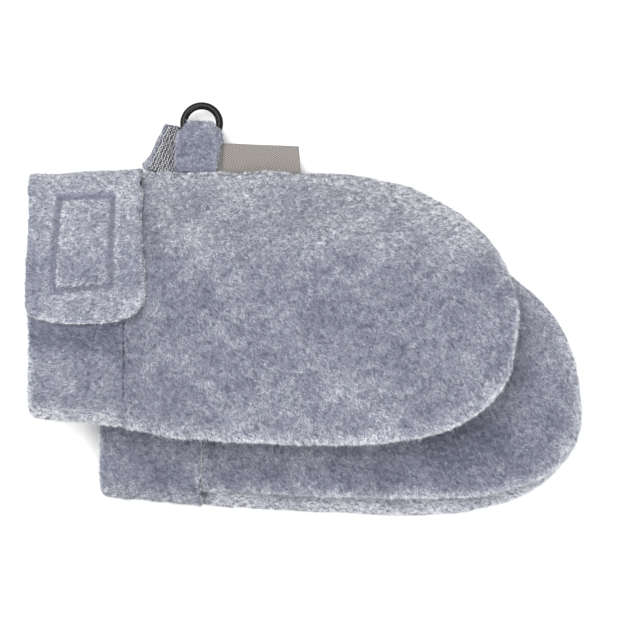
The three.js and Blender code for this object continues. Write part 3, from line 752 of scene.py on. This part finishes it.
def make_ring():
    """A round wire ring, turned into the plane of its CAD node."""
    mesh = bpy.data.meshes.new("ring_wire")
    turns, sides = RING_STEPS["round"], RING_STEPS["wire"]
    points, faces = [], []
    for i in range(turns):
        a = 2 * math.pi * i / turns
        for k in range(sides):
            b = 2 * math.pi * k / sides
            reach = RING_OUTER - RING_WIRE + RING_WIRE * math.cos(b)
            points.append(Vector((reach * math.cos(a), reach * math.sin(a), RING_WIRE * math.sin(b))))
            j, n = (i + 1) % turns, (k + 1) % sides
            faces.append((i * sides + k, j * sides + k, j * sides + n, i * sides + n))
    axis = Vector(frame["record"]["behaviour"]["joints"][0]["axis"])
    turn = Vector((0, 0, 1)).rotation_difference(axis)
    mesh.from_pydata([ring_centre + turn @ (p * MM) for p in points], [], faces)
    mesh.polygons.foreach_set("use_smooth", [True] * len(mesh.polygons))
    lacquer = principled("ring_lacquer", (0.004, 0.004, 0.004), 0.22, Specular_IOR_Level=0.14)
    wear = noise_of(lacquer, 1400, 3.0)
    color = ramp_of(lacquer, wear, [(0.45, (0.004, 0.004, 0.004)), (0.8, (0.011, 0.01, 0.009))])
    join(lacquer, color, shader_of(lacquer).inputs["Base Color"])
    raise_by(lacquer, wear, 0.15, 0.02)
    dress(link(bpy.data.objects.new("ring_wire", mesh)), "upper_ring", lacquer)


make_ring()


# Woven label

TWILL_BAND = 2.9  # height of a band of the weave that leans one way
TWILL_LINE = 0.95  # distance between its ribs
TWILL_SLANT = 1.3  # how steeply they lean
TWILL_FLECKS = 1.8  # how much the flecks weigh beside the ribs
LABEL_DROP = 0.9  # how much lower the label's right end is than its left one
LABEL_LEAN = 0.6  # how far in its right end leans at the top
LABEL_WAVES = (14, 0.12)  # wavelength and height of its unevenness


def twill(name, dark, light):
    """Ribs that lean one way and the other in turn, in bands along the label."""
    material = principled(name, light, 0.75, Sheen_Weight=0.15)
    place = add_node(material, "ShaderNodeTexCoord")
    split = add_node(material, "ShaderNodeSeparateXYZ")
    join(material, place.outputs["Object"], split.inputs["Vector"])

    def calculate(operation, *values):
        """A math node's output; each value is a number or another node's output."""
        node = add_node(material, "ShaderNodeMath", operation=operation)
        for socket, value in zip(node.inputs, values):
            if isinstance(value, (int, float)):
                socket.default_value = value
            else:
                join(material, value, socket)
        return node.outputs[0]

    zigzag = calculate("PINGPONG", split.outputs["Y"], TWILL_BAND * MM)
    slanted = calculate("ADD", split.outputs["X"], calculate("MULTIPLY", zigzag, TWILL_SLANT))
    ribs = calculate("SINE", calculate("MULTIPLY", slanted, 2 * math.pi / (TWILL_LINE * MM)))
    flecks = calculate("MULTIPLY", noise_of(material, 3500), TWILL_FLECKS)
    level = calculate("MULTIPLY_ADD", calculate("ADD", ribs, flecks), 0.25, 0.27)
    color = ramp_of(material, level, [(0.24, dark), (0.74, light)])
    join(material, color, shader_of(material).inputs["Base Color"])
    raise_by(material, level, 0.5, 0.12)
    return material


def make_label():
    label = softened("upper_label", 2, crease=0.85)
    points = to_local(vertices(label.data))
    share = (points[:, 0] - points[:, 0].min()) / np.ptp(points[:, 0])
    height = (points[:, 1] - points[:, 1].min()) / np.ptp(points[:, 1])
    points[:, 1] -= LABEL_DROP * share * height
    points[:, 0] -= LABEL_LEAN * share * height
    wavelength, rise = LABEL_WAVES
    points[:, 2] += rise * field(points * [1, 1, 0], wavelength, 71) * height
    put_vertices(label.data, points)
    weave = twill("label_twill", (0.05, 0.045, 0.041), (0.25, 0.23, 0.213))
    dress(label, "upper_label", weave)


make_label()


# Loop tape on the tongue

TAPE_COLUMN = 0.95  # distance between two knitted columns
TAPE_STITCH = 0.5  # length of half a zigzag
TAPE_SWING = 0.3
TAPE_YARN = 0.15  # radius
TAPE_LEAN = math.radians(23.3)  # to the right of straight up in the picture
TAPE_MARGIN = 0.25
TAPE_STRAY = (0.12, 0.1)  # how far its yarn strays sideways and upwards
TAPE_RISE = (0.1, 0.26)  # height of its yarn over the ground at one end of a zigzag and the other


def tape_paths(tape):
    """Columns of zigzag yarn along the tape."""
    points = to_local(vertices(tape.data))
    tree = surface_tree([tape.data])
    middle = points.mean(0)[:2]
    ahead = np.array([math.sin(TAPE_LEAN), math.cos(TAPE_LEAN)])
    across = np.array([math.cos(TAPE_LEAN), -math.sin(TAPE_LEAN)])
    flat = points[:, :2] - middle
    reach = [(flat @ way).min() + TAPE_MARGIN for way in (ahead, across)]
    limit = [(flat @ way).max() - TAPE_MARGIN for way in (ahead, across)]
    rng = np.random.default_rng(81)
    paths = []
    for column in np.arange(reach[1], limit[1], TAPE_COLUMN):
        path = []
        for number, row in enumerate(np.arange(reach[0], limit[0], TAPE_STITCH)):
            swing = TAPE_SWING * (1 if number % 2 else -1) + rng.normal() * TAPE_STRAY[0]
            x, y = middle + ahead * row + across * (column + swing)
            z = height_at(tree, x, y)
            if z is not None:
                path.append((x, y, z + TAPE_RISE[number % 2] + rng.normal() * TAPE_STRAY[1]))
        if len(path) > 3:
            paths.append(path)
    return paths


def make_tape():
    """The tape's ground and its yarn."""
    tape = softened("upper_loop_tape", 2, crease=0.8)
    ground = speckled("tape_ground", (0.02, 0.02, 0.025), (0.075, 0.075, 0.085), 2600, 0.95, 0.2)
    dress(tape, "upper_loop_tape", ground)
    yarn = speckled("tape_yarn", (0.34, 0.34, 0.36), (0.66, 0.66, 0.68), 1500, 0.85, Sheen_Weight=0.2)
    loops = yarn_object("upper_tape_loops", tape_paths(tape), TAPE_YARN, yarn)


make_tape()


# Table, light and camera

TABLE = 1.5  # half width, in metres
WORLD_LIGHT = 0.8

# One row for each light: where it stands over the middle of the picture, its width and its watts.
LIGHTS = [
    {"name": "key", "place": (-200, 300, 700), "size": 520, "power": 6.4},
    {"name": "fill", "place": (280, -320, 700), "size": 600, "power": 4.6},
]


def make_table():
    mesh = bpy.data.meshes.new("table")
    corners = [(-TABLE, -TABLE, 0), (TABLE, -TABLE, 0), (TABLE, TABLE, 0), (-TABLE, TABLE, 0)]
    mesh.from_pydata(corners, [], [(0, 1, 2, 3)])
    mesh.materials.append(principled("table", (0.9, 0.9, 0.9), 0.8))
    link(bpy.data.objects.new("table", mesh))


def make_light(name, place, size, power):
    """A square soft light that looks at the mittens."""
    light = bpy.data.lights.new(name, "AREA")
    light.size = size * MM
    light.energy = power
    obj = link(bpy.data.objects.new(name, light))
    obj.location = ORIGIN + Vector(place) * MM
    obj.rotation_mode = "QUATERNION"
    obj.rotation_quaternion = (ORIGIN - obj.location).to_track_quat("-Z", "Y")


def make_world():
    world = bpy.data.worlds.new("studio")
    world.use_nodes = True
    background = world.node_tree.nodes["Background"]
    background.inputs["Color"].default_value = (1, 1, 1, 1)
    background.inputs["Strength"].default_value = WORLD_LIGHT
    bpy.context.scene.world = world


def make_camera():
    camera = bpy.data.cameras.new("camera")
    camera.sensor_width = SENSOR
    camera.lens = SENSOR * (CAMERA_HEIGHT - MEASURED_AT) / PHOTO_WIDTH
    camera.clip_start = 0.01
    obj = link(bpy.data.objects.new("camera", camera))
    obj.location = ORIGIN + Vector((0, 0, CAMERA_HEIGHT)) * MM
    bpy.context.scene.camera = obj


make_table()
for light_row in LIGHTS:
    make_light(**light_row)
make_world()
make_camera()
bpy.context.scene.view_settings.view_transform = "Standard"
